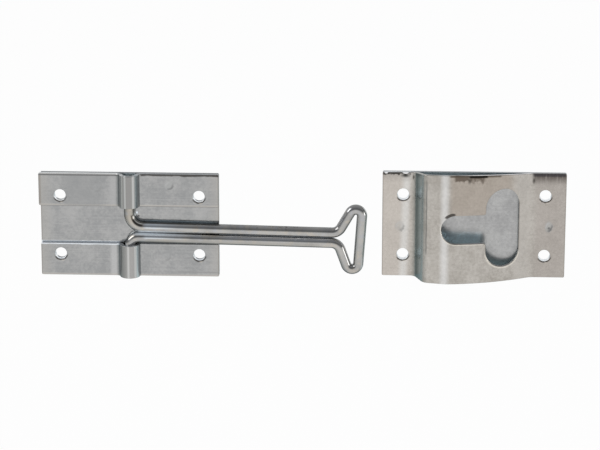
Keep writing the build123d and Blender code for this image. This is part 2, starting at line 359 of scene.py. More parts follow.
# Front of the keeper: smears and dark lines under its upper edge, by x and by level, which is the height less
# the splay
smear_noise = {"scale": 2.6, "detail": 3.0}
smear_raggedness = 4.0
left_smear_x = (161.8, 167.2, 1.5)
left_smear_level = (23.8, 25.6)
right_smear_x = (169.4, 174.6, 2.0)
right_smear_level = (24.4, 26.8)
smear_coat = coat(0.12, 0.095, 0.075, 0.9)
smear_spot = ((168.2, 26.0), (1.4, 2.4))
smear_spot_coat = coat(0.05, 0.04, 0.03, 0.8)
edge_line_x = (159.5, 183.0, 1.5)
edge_line_level = (27.2, 27.9)
edge_line_coat = coat(0.11, 0.09, 0.07, 0.85)
black_line_x = (168.6, 176.6, 1.0)
black_line_level = (27.0, 27.6)
black_line_coat = coat(0.012, 0.010, 0.008, 0.95)

# Front of the keeper: edges of the slot
over_stem_ring = (7.3, 8.3, 0.7)
over_stem_spot = ((158.6, 10.0), (4.6, 3.4))
over_stem_rise = (0.1, 0.5)
over_stem_coat = coat(0.05, 0.045, 0.04, 0.9)
# Painted highlight on the rims of the stem's end and the lower lobe
slot_rim_width = 0.5
slot_rim_fade = 0.3
slot_rim_highlight_coat = coat(0.76, 0.71, 0.63, 0.6)
stem_rim_x = (176.0, 175.0)
stem_rim_z = (6.0, 2.0)
lobe_rim_z = (-9.0, -12.0)
right_edge_start_x = (192.0, 192.6)
right_edge_end_x = (193.4, 192.9)
right_edge_z = (-8.0, 14.0, 3.0)
right_edge_coat = coat(0.10, 0.09, 0.08, 0.7)

# Front of the keeper: upper corner of the right flange
right_flange_x = (198.6, 200.6)
thread_noise = {"scale": 0.8, "stretch": (1.0, 1.0, 9.0)}
thread_rise = (0.10, 0.55)
right_shade_level = (22.0, 27.4)
right_shade_coat = coat(0.10, 0.085, 0.075, 0.85)
right_under_edge_level = (26.6, 27.6)
right_under_edge_coat = coat(0.035, 0.033, 0.04, 0.75)
right_corner_spot = ((200.0, 25.2), (1.1, 2.4))
right_corner_coat = coat(0.04, 0.035, 0.03, 0.85)
right_top_start_x = (160.0, 175.0)
right_top_end_x = (200.0, 198.0)
right_top_coat = coat(0.95, 0.90, 0.87, 0.95)

# Front of the keeper: upper edge of the left flange
left_flange_x = (140.0, 139.0)
left_shade_level = (22.5, 28.0)
left_shade_coat = coat(0.36, 0.34, 0.315, 0.6)
flange_burr_noise = {"scale": 1.3, "detail": 3.0, "roughness": 0.65, "stretch": (2.0, 1.0, 1.0)}
flange_burr_raggedness = 2.0
flange_burr_level = (27.2, 27.7)
flange_burr_coat = coat(0.02, 0.02, 0.018, 0.9)
burr_spot = ((136.8, 26.9), (3.2, 1.5))
burr_spot_coat = coat(0.02, 0.02, 0.018, 0.95)
bend_spot = ((140.8, 26.2), (0.8, 1.9))
bend_spot_coat = coat(0.05, 0.045, 0.035, 0.9)
edge_glints = [((127.3, 28.5), (1.3, 1.0)), ((136.9, 28.5), (2.3, 1.0))]
edge_glint_rise = (0.1, 0.4)
edge_glint_coat = grey_coat(1.0, 1.0)
# Painted glints on the left flange's top face
flange_top_glint_rise = (0.40, 0.50)
flange_top_glint_coat = grey_coat(0.95, 1.0)

# Wire: finish and tints
wire_dark = (0.385, 0.38, 0.37, 1.0)
wire_light = (0.475, 0.465, 0.445, 1.0)
wire_shade_rise = (0.35, 0.65)
wire_roughness = 0.13
wire_cloud_roughness = (-0.03, 0.05)
wire_grain_roughness = (-0.02, 0.03)
wire_grain_height = 0.4
drawn_noise = {"scale": 0.5, "stretch": (40.0, 1.0, 1.0)}
drawn_height = 0.8
wire_bump = 0.00001
wire_edge_tint = (0.30, 0.33, 0.35, 1.0)
tint_noise = {"scale": 3.0}
warm_patch_rise = (0.52, 0.68)
warm_patch_coat = coat(0.55, 0.49, 0.41, 0.45)
cool_patch_rise = (0.46, 0.32)
cool_patch_coat = coat(0.43, 0.44, 0.47, 0.5)

# Wire: upper bend, with rings of painted dark reflection and painted highlight round the bend's middle
brown_bend_x = (7.0, 4.0)
brown_bend_z = (0.0, 4.0)
brown_bend_coat = coat(0.42, 0.385, 0.335, 0.8)
in_bend_x = (7.5, 6.0)
in_bend_z = (6.5, 5.0)
# Painted dark reflection and painted highlight inside the bend
bend_dark_reflection_ring = (4.9, 5.4, 0.4)
bend_dark_reflection_ring_coat = coat(0.05, 0.04, 0.03, 0.85)
bend_highlight_ring = (3.9, 4.4, 0.3)
bend_highlight_ring_coat = coat(0.85, 0.82, 0.76, 0.9)

# Wire: arms, with bands across them measured up from the gap between them, for painted light and painted
# highlights
over_plate_x = (7.0, 36.0, 12.0)
# Painted light on the backs and in the gap, painted highlights on the fronts and the lower arm's top
wire_back_rise = (0.1, 0.5)
wire_back_light_coat = coat(0.70, 0.76, 0.80, 0.85)
arm_fronts = [(3.0, 4.4, 0.8), (-2.2, -0.9, 0.8)]
near_bend_start_x = (6.0, 9.0)
near_bend_end_x = (34.0, 10.0)
arm_front_highlight_coat = coat(0.80, 0.86, 0.92, 0.75)
gap_x = (50.0, 6.0)
gap_band = (-0.9, 0.9, 0.7)
gap_light_coat = coat(0.86, 0.90, 0.94, 0.9)
gap_roughness = 0.5
lower_top_x = (50.0, 96.0, 8.0)
lower_top_band = (-1.6, 0.2, 0.6)
lower_top_highlight_coat = coat(0.60, 0.61, 0.63, 0.7)
lower_front_x = (14.0, 92.0, 6.0)
lower_front_band = (-4.6, -3.0, 0.6)
lower_front_coat = coat(0.36, 0.345, 0.315, 0.5)
speck_noise = {"scale": 0.9, "detail": 3.0, "roughness": 0.7, "stretch": (2.5, 1.0, 1.0)}
speck_rise = (0.56, 0.66)
dirty_x = (62.0, 84.0, 4.0)
dirty_z = (-1.2, -0.6)
dirty_coat = coat(0.06, 0.055, 0.05, 0.7)
worn_x = (78.0, 90.0, 3.0)
worn_z = (-6.2, -5.0, 0.4)
worn_coat = grey_coat(0.95, 0.8)

# Wire: painted highlights on the sides of the T-shaped end
end_bar_x = (107.0, 111.0)
outer_side_rise = (0.45, 0.9)
outer_side_highlight_coat = coat(0.92, 0.93, 0.91, 0.8)
inner_side_rise = (-0.25, -0.6)
inner_side_highlight_coat = coat(0.56, 0.55, 0.54, 0.6)


class Graph:
    """A node tree with short ways to add nodes and join them."""

    def __init__(self, tree):
        self.tree = tree
        tree.nodes.clear()

    def add(self, kind, settings=None, **inputs):
        """Adds a node. Inputs go by socket name, with _ for spaces, or by number as s0, s1 and so on."""
        node = self.tree.nodes.new(kind)
        for name, value in (settings or {}).items():
            setattr(node, name, value)
        for name, value in inputs.items():
            if name[0] == "s" and name[1:].isdigit():
                socket = node.inputs[int(name[1:])]
            else:
                socket = node.inputs[name.replace("_", " ")]
            if isinstance(value, bpy.types.NodeSocket):
                self.tree.links.new(value, socket)
            else:
                socket.default_value = value
        return node

    def math(self, operation, a, b=0.0):
        return self.add("ShaderNodeMath", {"operation": operation}, s0=a, s1=b).outputs[0]

    def minus(self, a, b):
        return self.math("SUBTRACT", a, b)

    def larger(self, a, b):
        return self.math("MAXIMUM", a, b)

    def product(self, *values):
        result = values[0]
        for value in values[1:]:
            result = self.math("MULTIPLY", result, value)
        return result

    def total(self, *values):
        result = values[0]
        for value in values[1:]:
            result = self.math("ADD", result, value)
        return result

    def distance(self, across, up):
        return self.math("SQRT", self.total(self.product(across, across), self.product(up, up)))

    def rise(self, value, start, full):
        """0 before the start, 1 past the full value and smooth between them. Either may be the larger."""
        settings = {"interpolation_type": "SMOOTHSTEP", "clamp": True}
        if start < full:
            node = self.add("ShaderNodeMapRange", settings, s0=value, s1=start, s2=full, s3=0.0, s4=1.0)
        else:
            node = self.add("ShaderNodeMapRange", settings, s0=value, s1=full, s2=start, s3=1.0, s4=0.0)
        return node.outputs[0]

    def band(self, value, low, high, fade):
        """1 between low and high, falling to 0 over the fade outside them."""
        return self.product(self.rise(value, low - fade, low), self.rise(value, high + fade, high))

    def spot(self, x, z, middle, reach):
        """1 at the middle (x, z), falling to 0 at the reach (x, z) away from it."""
        across = self.math("DIVIDE", self.minus(x, middle[0]), reach[0])
        up = self.math("DIVIDE", self.minus(z, middle[1]), reach[1])
        return self.rise(self.distance(across, up), 1.0, 0.0)

    def spread(self, value, low, high):
        """Maps 0 to 1 onto low to high."""
        return self.add("ShaderNodeMapRange", {"clamp": False}, s0=value, s3=low, s4=high).outputs[0]

    def noise(self, place, scale, detail=2.0, roughness=0.6, stretch=(1.0, 1.0, 1.0)):
        """Noise from 0 to 1 with spots about as wide as scale millimetres, longer where stretch is larger."""
        size = tuple(1.0 / (scale * share) for share in stretch)
        where = self.add("ShaderNodeVectorMath", {"operation": "MULTIPLY"}, s0=place, s1=size).outputs[0]
        inputs = {"Scale": 1.0, "Detail": detail, "Roughness": roughness}
        return self.add("ShaderNodeTexNoise", None, Vector=where, **inputs).outputs[0]

    def mix(self, factor, colour, other):
        node = self.add("ShaderNodeMix", {"data_type": "RGBA"}, s0=factor, s6=colour, s7=other)
        return node.outputs[2]

    def parts(self, vector):
        """The x, y and z of a vector."""
        return self.add("ShaderNodeSeparateXYZ", None, s0=vector).outputs


def grey(level):
    return (level, level, level, 1.0)


def new_material(name):
    material = bpy.data.materials.new(name)
    material.use_nodes = True
    return material


class Zinc(Graph):
    """Zinc-plated steel whose colour, roughness and height are built up layer by layer."""

    def __init__(self, name):
        self.material = new_material(name)
        super().__init__(self.material.node_tree)
        place = self.add("ShaderNodeTexCoord").outputs["Object"]
        scaled = self.add("ShaderNodeVectorMath", {"operation": "SCALE"}, s0=place, Scale=millimetres)
        self.where = scaled.outputs[0]
        self.x, self.y, self.z = self.parts(self.where)
        normal = self.add("ShaderNodeTexCoord").outputs["Normal"]
        self.face_x, self.face_y, self.face_z = self.parts(normal)
        self.cloud = self.noise(self.where, **cloud_noise)
        self.mottle = self.noise(self.where, **mottle_noise)
        self.streak = self.noise(self.where, **streak_noise)
        self.grain = self.noise(self.where, **grain_noise)
        self.top_face = self.rise(self.face_z, *facing_up)
        self.front_face = self.rise(self.face_z, *not_facing_up)

    def paint(self, mask, layer, share=1.0):
        """Lays a share of a coat over the mask."""
        colour, strength = layer
        self.colour = self.mix(self.product(mask, strength * share), self.colour, colour)

    def sheet_finish(self, dark, light, roughness):
        """Cloudy rolled sheet between two colours, rougher where it was sheared."""
        shade = self.total(self.product(self.cloud, cloud_shade), self.product(self.mottle, mottle_shade))
        self.colour = self.mix(self.rise(shade, *shade_rise), dark, light)
        bright = tuple(min(1.0, level * streak_gain) for level in light[:3])
        self.paint(self.rise(self.streak, *streak_rise), coat(*bright, streak_strength))
        self.roughness = self.total(
            roughness,
            self.spread(self.cloud, *cloud_roughness),
            self.spread(self.grain, *grain_roughness),
            self.product(self.top_face, sheared_roughness),
        )
        self.height = self.total(
            self.product(self.grain, grain_height),
            self.product(self.cloud, cloud_height),
            self.product(self.streak, streak_height),
        )

    def weather(self, share):
        """Lightens and darkens the whole surface unevenly, by up to about the share."""
        uneven = self.total(
            self.product(self.cloud, cloud_weather),
            self.product(self.mottle, mottle_weather),
        )
        tone = self.spread(uneven, 1.0 - share, 1.0 + share)
        scaled = self.add("ShaderNodeVectorMath", {"operation": "SCALE"}, s0=self.colour, Scale=tone)
        self.colour = scaled.outputs[0]

    def paint_inside_light(self):
        """Painted light on the faces that look back at the wall, to brighten the hollows, and rougher plating
        there.
        """
        inside = self.rise(self.face_y, *facing_back)
        self.paint(inside, inside_light_coat)
        self.roughness = self.total(self.roughness, self.product(inside, inside_roughness))

    def finish(self, bump_distance, edge_tint):
        """Joins the layers to a metal shader."""
        bump = self.add("ShaderNodeBump", None, Strength=1.0, Distance=bump_distance, Height=self.height)
        shader = self.add("ShaderNodeBsdfPrincipled", None, Base_Color=self.colour, Roughness=self.roughness)
        self.tree.links.new(bump.outputs[0], shader.inputs["Normal"])
        shader.inputs["Metallic"].default_value = 1.0
        shader.inputs["Specular Tint"].default_value = edge_tint
        self.add("ShaderNodeOutputMaterial", None, Surface=shader.outputs[0])
        return self.material


def hole_rim(zinc, hole):
    """Punched screw hole: painted reflection on its wall, thin dark and ragged lower rim, and a painted glint
    under it.
    """
    hole_x, hole_z, hole_radius = hole
    across = zinc.minus(zinc.x, hole_x)
    up = zinc.minus(zinc.z, hole_z)
    radius = zinc.distance(across, up)
    ragged = zinc.total(radius, zinc.spread(zinc.mottle, -rim_raggedness, rim_raggedness))
    ring = zinc.rise(ragged, hole_radius + rim_rise[0], hole_radius + rim_rise[1])
    lean = zinc.minus(zinc.product(across, rim_lean), up)
    zinc.paint(zinc.product(ring, zinc.front_face, zinc.rise(lean, *rim_lower_side)), rim_coat)
    # Painted glint under the hole
    hole_glint_middle = (hole_x + hole_glint_right, hole_z - hole_radius - hole_glint_drop)
    zinc.paint(zinc.spot(zinc.x, zinc.z, hole_glint_middle, hole_glint_reach), hole_glint_coat)
    # Painted reflection on the hole's wall
    wall = zinc.rise(radius, hole_radius + hole_wall_rise[0], hole_radius + hole_wall_rise[1])
    zinc.paint(wall, hole_wall_reflection_coat)


def weld_mark(zinc, middle, reach, share):
    """Spot weld: a soft dull patch, with a painted shade crescent at its lower right and a painted highlight
    one opposite.
    """
    across = zinc.math("DIVIDE", zinc.minus(zinc.x, middle[0]), reach[0])
    up = zinc.math("DIVIDE", zinc.minus(zinc.z, middle[1]), reach[1])
    raggedness = zinc.spread(zinc.mottle, -weld_raggedness, weld_raggedness)
    ragged = zinc.total(zinc.distance(across, up), raggedness)
    ring = zinc.band(ragged, *weld_ring)
    lean = zinc.minus(across, up)
    zinc.paint(zinc.rise(ragged, *weld_patch_rise), weld_patch_coat, share)
    # Painted shade and painted highlight crescents
    zinc.paint(zinc.product(ring, zinc.rise(lean, *weld_shade_side)), weld_shade_coat, share)
    zinc.paint(zinc.product(ring, zinc.rise(lean, *weld_highlight_side)), weld_highlight_coat, share)


def hook_sheet(name, roughness):
    """Neutral grey sheet of the hook plate and its straps, a little warmer and lighter at its two ends."""
    zinc = Zinc(name)
    zinc.sheet_finish(hook_sheet_dark, hook_sheet_light, roughness)
    from_middle = zinc.math("ABSOLUTE", zinc.x)
    zinc.paint(zinc.rise(from_middle, plate_right - warm_end[0], plate_right - warm_end[1]), warm_end_coat)
    rim = zinc.rise(from_middle, plate_right - end_rim[0], plate_right - end_rim[1])
    zinc.paint(zinc.product(rim, zinc.front_face), hook_rim_coat)
    for hole in hook_holes:
        hole_rim(zinc, hole)
    return zinc


def hook_back_plate_material():
    """Plate behind the straps, with painted shadow and highlight by the straps, painted light behind the
    knuckle and painted reflections of the rod.
    """
    zinc = hook_sheet("hook_back_plate_zinc", back_plate_roughness)
    zinc.paint(zinc.top_face, back_plate_top_coat)
    to_front = zinc.rise(zinc.face_y, *facing_front)
    # Painted shadow under the upper strap
    zinc.paint(zinc.product(zinc.band(zinc.z, *strap_shadow_band), to_front), strap_shadow_coat)
    left_side = zinc.product(zinc.rise(zinc.x, *left_of_lower_knuckle), to_front)
    # Painted highlight over the lower strap, left of its knuckle
    burr = zinc.spread(zinc.noise(zinc.where, **burr_noise), -over_strap_raggedness, over_strap_raggedness)
    over_strap_highlight = zinc.rise(zinc.total(zinc.z, burr), *over_strap_highlight_rise)
    zinc.paint(zinc.product(over_strap_highlight, left_side), over_strap_highlight_coat)
    # Painted light behind the upper knuckle
    behind_knuckle = zinc.product(zinc.band(zinc.x, *behind_knuckle_x), zinc.rise(zinc.z, *behind_knuckle_z))
    zinc.paint(zinc.product(behind_knuckle, to_front), behind_knuckle_light_coat)
    # Painted reflection of the rod
    along_rod = zinc.total(zinc.z, zinc.product(zinc.x, arm_slope))
    rod_reflection = zinc.product(zinc.band(along_rod, *rod_reflection_z), zinc.band(zinc.x, *rod_reflection_x))
    zinc.paint(zinc.product(rod_reflection, to_front), rod_reflection_coat)
    # Painted reflection of the upper bend: glint and dark spot
    zinc.paint(zinc.product(zinc.spot(zinc.x, zinc.z, *bend_glint), to_front), bend_glint_coat)
    zinc.paint(zinc.product(zinc.spot(zinc.x, zinc.z, *bend_dark_reflection), to_front), bend_dark_reflection_coat)
    return zinc.finish(sheet_bump, sheet_edge_tint)


def strap_sheet(name, bottom, lines, levels, stripe_level):
    """A strap: lighter left of the knuckle, a painted highlight on its lower edge, painted shading and two
    painted highlight lines on the knuckle.
    """
    zinc = hook_sheet(name, strap_roughness)
    zinc.paint(zinc.band(zinc.x, *foot_stripe_x), grey_coat(stripe_level, foot_stripe_strength))
    # Painted highlight along the lower edge
    edge_low, edge_high, edge_fade = strap_edge_highlight
    zinc.paint(zinc.band(zinc.z, bottom + edge_low, bottom + edge_high, edge_fade), strap_edge_highlight_coat)
    # Painted shading across the knuckle and its two flanks
    knuckle = zinc.product(zinc.band(zinc.x, *knuckle_x), zinc.rise(zinc.y, *knuckle_y))
    left_flank = zinc.product(knuckle, zinc.rise(zinc.x, *left_flank_x))
    right_flank = zinc.product(knuckle, zinc.rise(zinc.x, *right_flank_x))
    tinted_parts = ((knuckle, warm_tint), (left_flank, warm_tint), (right_flank, cool_tint))
    for (part, tint), level in zip(tinted_parts, levels):
        colour = tuple(level * share for share in tint)
        zinc.paint(part, coat(*colour, knuckle_strength))
    # Painted highlight lines down the knuckle
    for middle in lines:
        left = middle - knuckle_highlight_half_width
        right = middle + knuckle_highlight_half_width
        line = zinc.band(zinc.x, left, right, knuckle_highlight_fade)
        zinc.paint(zinc.product(line, knuckle), knuckle_highlight_coat)
    # Painted light inside the knuckle
    zinc.paint_inside_light()
    return zinc


def upper_strap_material():
    """Upper strap: painted highlight on its upper edge over a painted shadow line on the left, dark sheared
    edge on the right.
    """
    zinc = strap_sheet(
        "upper_strap_zinc", upper_strap_bottom, upper_knuckle_highlights, upper_knuckle_shading, upper_stripe_level
    )
    right_half = zinc.rise(zinc.x, *right_of_upper_knuckle)
    left_half = zinc.rise(zinc.x, *left_of_upper_knuckle)
    zinc.paint(zinc.product(zinc.band(zinc.x, *dull_left_x), zinc.front_face), dull_left_coat)
    # Painted shadow line, then painted highlight on the upper edge
    edge_shadow = zinc.product(zinc.rise(zinc.z, *edge_shadow_z), zinc.front_face)
    zinc.paint(zinc.product(edge_shadow, left_half), edge_shadow_coat)
    edge_highlight = zinc.larger(zinc.top_face, zinc.rise(zinc.z, *edge_highlight_z))
    zinc.paint(zinc.product(edge_highlight, left_half), edge_highlight_coat)
    ragged = zinc.product(zinc.noise(zinc.where, **shear_noise), shear_raggedness)
    sheared = zinc.rise(zinc.total(zinc.z, ragged), *shear_z)
    zinc.paint(zinc.product(sheared, zinc.front_face, right_half), shear_coat)
    for weld in upper_strap_welds:
        weld_mark(zinc, *weld)
    return zinc.finish(sheet_bump, sheet_edge_tint)


def lower_strap_material():
    """Lower strap: painted highlight along its ragged upper edge on the left and on its top face, and a faint
    line low on the right.
    """
    zinc = strap_sheet(
        "lower_strap_zinc", lower_strap_bottom, lower_knuckle_highlights, lower_knuckle_shading, lower_stripe_level
    )
    left_half = zinc.rise(zinc.x, *left_of_lower_knuckle)
    # Painted highlight on the ragged upper edge and on the top face
    burr = zinc.spread(zinc.noise(zinc.where, **burr_noise), -upper_edge_highlight_raggedness, upper_edge_highlight_raggedness)
    upper_edge_highlight = zinc.rise(zinc.total(zinc.z, burr), *upper_edge_highlight_rise)
    zinc.paint(zinc.product(upper_edge_highlight, left_half), upper_edge_highlight_coat)
    zinc.paint(zinc.top_face, lower_strap_top_highlight_coat)
    faint_line = zinc.product(zinc.rise(zinc.x, *faint_line_x), zinc.band(zinc.z, *faint_line_z))
    zinc.paint(faint_line, faint_line_coat)
    for weld in lower_strap_welds:
        weld_mark(zinc, *weld)
    return zinc.finish(sheet_bump, sheet_edge_tint)


def keeper_back_plate_material():
    """Painted light below the stem, in specks and at the pocket's left; painted shade near the stem's end,
    below the bar, at the pocket's top.
    """
    zinc = Zinc("keeper_back_zinc")
    zinc.sheet_finish(keeper_back_dark, keeper_back_light, keeper_back_roughness)
    to_front = zinc.rise(zinc.face_y, *facing_front)
    under_hump = zinc.product(zinc.band(zinc.x, *under_hump_x), to_front)
    # Painted light and shade inside the hump, seen through the slot
    below_stem = zinc.product(zinc.rise(zinc.x, *below_stem_x), zinc.rise(zinc.z, *below_stem_z), under_hump)
    zinc.paint(below_stem, below_stem_light_coat)
    zinc.paint(zinc.product(below_stem, zinc.rise(zinc.x, *stem_corner_x)), stem_corner_shade_coat)
    speckle = zinc.rise(zinc.noise(zinc.where, **speckle_noise), *speckle_rise)
    zinc.paint(zinc.product(below_stem, speckle), speckle_light_coat)
    zinc.paint(zinc.product(zinc.rise(zinc.z, *below_bar_z), under_hump), below_bar_shade_coat)
    pocket_top = zinc.product(zinc.rise(zinc.z, *pocket_top_z), under_hump)
    zinc.paint(pocket_top, pocket_top_shade_coat)
    zinc.paint(zinc.product(pocket_top, zinc.rise(zinc.x, *pocket_left_x)), pocket_left_light_coat)
    zinc.weather(keeper_back_weather)
    zinc.paint(zinc.top_face, keeper_back_top_coat)
    for hole in keeper_holes:
        hole_rim(zinc, hole)
    return zinc.finish(sheet_bump, sheet_edge_tint)


def paint_keeper_tones(zinc):
    """Pale left flange with a painted highlight stripe, browner ramp, and painted highlights at the ramp's
    foot and along the crest.
    """
    zinc.paint(zinc.rise(zinc.x, *flange_x), flange_coat)
    # Painted highlight stripe on the left flange
    leaning_x = zinc.total(zinc.x, zinc.product(zinc.z, stripe_lean))
    zinc.paint(zinc.band(leaning_x, *stripe_x), stripe_highlight_coat)
    ramp = zinc.product(zinc.rise(zinc.x, *ramp_start_x), zinc.rise(zinc.x, *ramp_end_x))
    zinc.paint(zinc.product(ramp, zinc.rise(zinc.z, *ramp_z)), ramp_coat)
    # Painted highlight at the ramp's foot
    zinc.paint(zinc.band(zinc.x, *ramp_foot_x), ramp_foot_highlight_coat)
    zinc.paint(zinc.rise(zinc.x, *right_tone_x), right_tone_coat)
    # Painted highlight along the crest
    zinc.paint(zinc.band(zinc.x, *crest_highlight_band), crest_highlight_coat)


def paint_hump_wall(zinc):
    """Painted shade on the steep wall on the hump's left, less towards the brow, and a long scratch beside
    it.
    """
    # Painted shade on the left-facing wall
    wall = zinc.product(zinc.rise(zinc.face_x, *facing_left), zinc.front_face)
    zinc.paint(wall, wall_shade_coat)
    zinc.paint(zinc.product(wall, zinc.rise(zinc.x, *wall_light_x)), wall_light_coat)
    wobble = zinc.spread(zinc.noise(zinc.where, **scratch_noise), -scratch_wobble, scratch_wobble)
    scratch = zinc.band(zinc.total(zinc.x, wobble), *scratch_x)
    zinc.paint(zinc.product(scratch, zinc.band(zinc.z, *scratch_z)), scratch_coat)


def paint_upper_smears_and_lines(zinc, level):
    """Brown smears and dark lines under the hump's upper edge."""
    blotch = zinc.spread(zinc.noise(zinc.where, **smear_noise), -smear_raggedness, smear_raggedness)
    ragged = zinc.total(level, blotch)
    left_smear = zinc.product(zinc.band(zinc.x, *left_smear_x), zinc.rise(ragged, *left_smear_level))
    right_smear = zinc.product(zinc.band(zinc.x, *right_smear_x), zinc.rise(ragged, *right_smear_level))
    zinc.paint(zinc.larger(left_smear, right_smear), smear_coat)
    zinc.paint(zinc.spot(zinc.x, level, *smear_spot), smear_spot_coat)
    edge_line = zinc.product(zinc.band(zinc.x, *edge_line_x), zinc.rise(level, *edge_line_level))
    zinc.paint(zinc.product(edge_line, zinc.front_face), edge_line_coat)
    black_line = zinc.product(zinc.band(zinc.x, *black_line_x), zinc.rise(level, *black_line_level))
    zinc.paint(zinc.product(black_line, zinc.front_face), black_line_coat)


def slot_distance(zinc, beyond, across):
    """Distance from a line that ends, for a place that lies beyond its end and across from it."""
    return zinc.distance(zinc.larger(beyond, 0.0), across)


def paint_slot_edges(zinc):
    """Dark stroke over the stem's end, painted highlights on the lower rims, and a dark line on the slot's
    right.
    """
    stem_distance = slot_distance(zinc, zinc.minus(stem_end_x, zinc.x), zinc.minus(zinc.z, stem_z))
    over_stem = zinc.band(stem_distance, *over_stem_ring)
    over_stem = zinc.product(over_stem, zinc.spot(zinc.x, zinc.z, *over_stem_spot))
    zinc.paint(zinc.rise(over_stem, *over_stem_rise), over_stem_coat)
    # Painted highlight on the rims of the stem and the lower lobe
    stem_rim = zinc.band(stem_distance, stem_radius, stem_radius + slot_rim_width, slot_rim_fade)
    stem_rim = zinc.product(stem_rim, zinc.rise(zinc.x, *stem_rim_x), zinc.rise(zinc.z, *stem_rim_z))
    zinc.paint(stem_rim, slot_rim_highlight_coat)
    lobe_distance = slot_distance(zinc, zinc.minus(lower_lobe_z, zinc.z), zinc.minus(zinc.x, bar_slot_x))
    lobe_rim = zinc.band(lobe_distance, bar_slot_radius, bar_slot_radius + slot_rim_width, slot_rim_fade)
    zinc.paint(zinc.product(lobe_rim, zinc.rise(zinc.z, *lobe_rim_z)), slot_rim_highlight_coat)
    right_edge = zinc.product(zinc.rise(zinc.x, *right_edge_start_x), zinc.rise(zinc.x, *right_edge_end_x))
    zinc.paint(zinc.product(right_edge, zinc.band(zinc.z, *right_edge_z)), right_edge_coat)


def paint_right_flange(zinc, level):
    """Dark threads that run down from the right flange's upper edge."""
    right_flange = zinc.rise(zinc.x, *right_flange_x)
    threads = zinc.rise(zinc.noise(zinc.where, **thread_noise), *thread_rise)
    shade = zinc.product(right_flange, zinc.rise(level, *right_shade_level), threads)
    zinc.paint(shade, right_shade_coat)
    under_edge = zinc.product(right_flange, zinc.rise(level, *right_under_edge_level), zinc.front_face)
    zinc.paint(under_edge, right_under_edge_coat)
    zinc.paint(zinc.spot(zinc.x, zinc.z, *right_corner_spot), right_corner_coat)


def paint_left_flange(zinc, level):
    """Shade, dark burr and glints along the left flange's upper edge."""
    left_flange = zinc.rise(zinc.x, *left_flange_x)
    zinc.paint(zinc.product(left_flange, zinc.rise(level, *left_shade_level)), left_shade_coat)
    burr = zinc.noise(zinc.where, **flange_burr_noise)
    ragged = zinc.total(level, zinc.spread(burr, -flange_burr_raggedness, flange_burr_raggedness))
    dark_burr = zinc.product(left_flange, zinc.rise(ragged, *flange_burr_level), zinc.front_face)
    zinc.paint(dark_burr, flange_burr_coat)
    zinc.paint(zinc.spot(zinc.x, level, *burr_spot), burr_spot_coat)
    zinc.paint(zinc.spot(zinc.x, level, *bend_spot), bend_spot_coat)
    for glint in edge_glints:
        zinc.paint(zinc.rise(zinc.spot(zinc.x, level, *glint), *edge_glint_rise), edge_glint_coat)
    # Painted glints on the top face
    flange_top = zinc.product(zinc.top_face, left_flange, zinc.rise(burr, *flange_top_glint_rise))
    zinc.paint(flange_top, flange_top_glint_coat)


def paint_keeper_rims(zinc):
    """Pale sheared edge over the ramp, and warm rims at the keeper's two ends."""
    right_top = zinc.product(zinc.rise(zinc.x, *right_top_start_x), zinc.rise(zinc.x, *right_top_end_x))
    zinc.paint(zinc.product(zinc.top_face, right_top), right_top_coat)
    left_end = zinc.rise(zinc.x, keeper_left + end_rim[0], keeper_left + end_rim[1])
    right_end = zinc.rise(zinc.x, keeper_right - end_rim[0], keeper_right - end_rim[1])
    zinc.paint(zinc.product(zinc.larger(left_end, right_end), zinc.front_face), keeper_rim_coat)


def keeper_front_material():
    """Warm, cloudy sheet of the keeper, stained along its upper edge."""
    zinc = Zinc("keeper_front_zinc")
    zinc.sheet_finish(keeper_front_dark, keeper_front_light, keeper_front_roughness)
    depth = zinc.product(zinc.total(zinc.y, sheet), -1.0)
    level = zinc.minus(zinc.z, zinc.product(depth, splay_slope))
    paint_keeper_tones(zinc)
    paint_hump_wall(zinc)
    paint_upper_smears_and_lines(zinc, level)
    paint_slot_edges(zinc)
    paint_right_flange(zinc, level)
    paint_left_flange(zinc, level)
    paint_keeper_rims(zinc)
    zinc.weather(keeper_front_weather)
    for weld in keeper_welds:
        weld_mark(zinc, *weld)
    zinc.paint(zinc.spot(zinc.x, zinc.z, *weld_dot), weld_dot_coat)
    for hole in keeper_holes:
        hole_rim(zinc, hole)
    # Painted light inside the hump
    zinc.paint_inside_light()
    return zinc.finish(sheet_bump, sheet_edge_tint)


def paint_upper_bend(zinc):
    """Browner upper bend with a painted dark reflection and a painted highlight ring inside it, and warm and
    cool patches all along.
    """
    brown_bend = zinc.product(zinc.rise(zinc.x, *brown_bend_x), zinc.rise(zinc.z, *brown_bend_z))
    zinc.paint(brown_bend, brown_bend_coat)
    tint = zinc.noise(zinc.where, **tint_noise)
    zinc.paint(zinc.rise(tint, *warm_patch_rise), warm_patch_coat)
    zinc.paint(zinc.rise(tint, *cool_patch_rise), cool_patch_coat)
    radius = zinc.distance(zinc.minus(zinc.x, bend_middle[0]), zinc.minus(zinc.z, bend_middle[1]))
    in_bend = zinc.product(zinc.rise(zinc.x, *in_bend_x), zinc.rise(zinc.z, *in_bend_z))
    # Painted dark reflection and painted highlight inside the bend
    zinc.paint(zinc.product(in_bend, zinc.band(radius, *bend_dark_reflection_ring)), bend_dark_reflection_ring_coat)
    zinc.paint(zinc.product(in_bend, zinc.band(radius, *bend_highlight_ring)), bend_highlight_ring_coat)


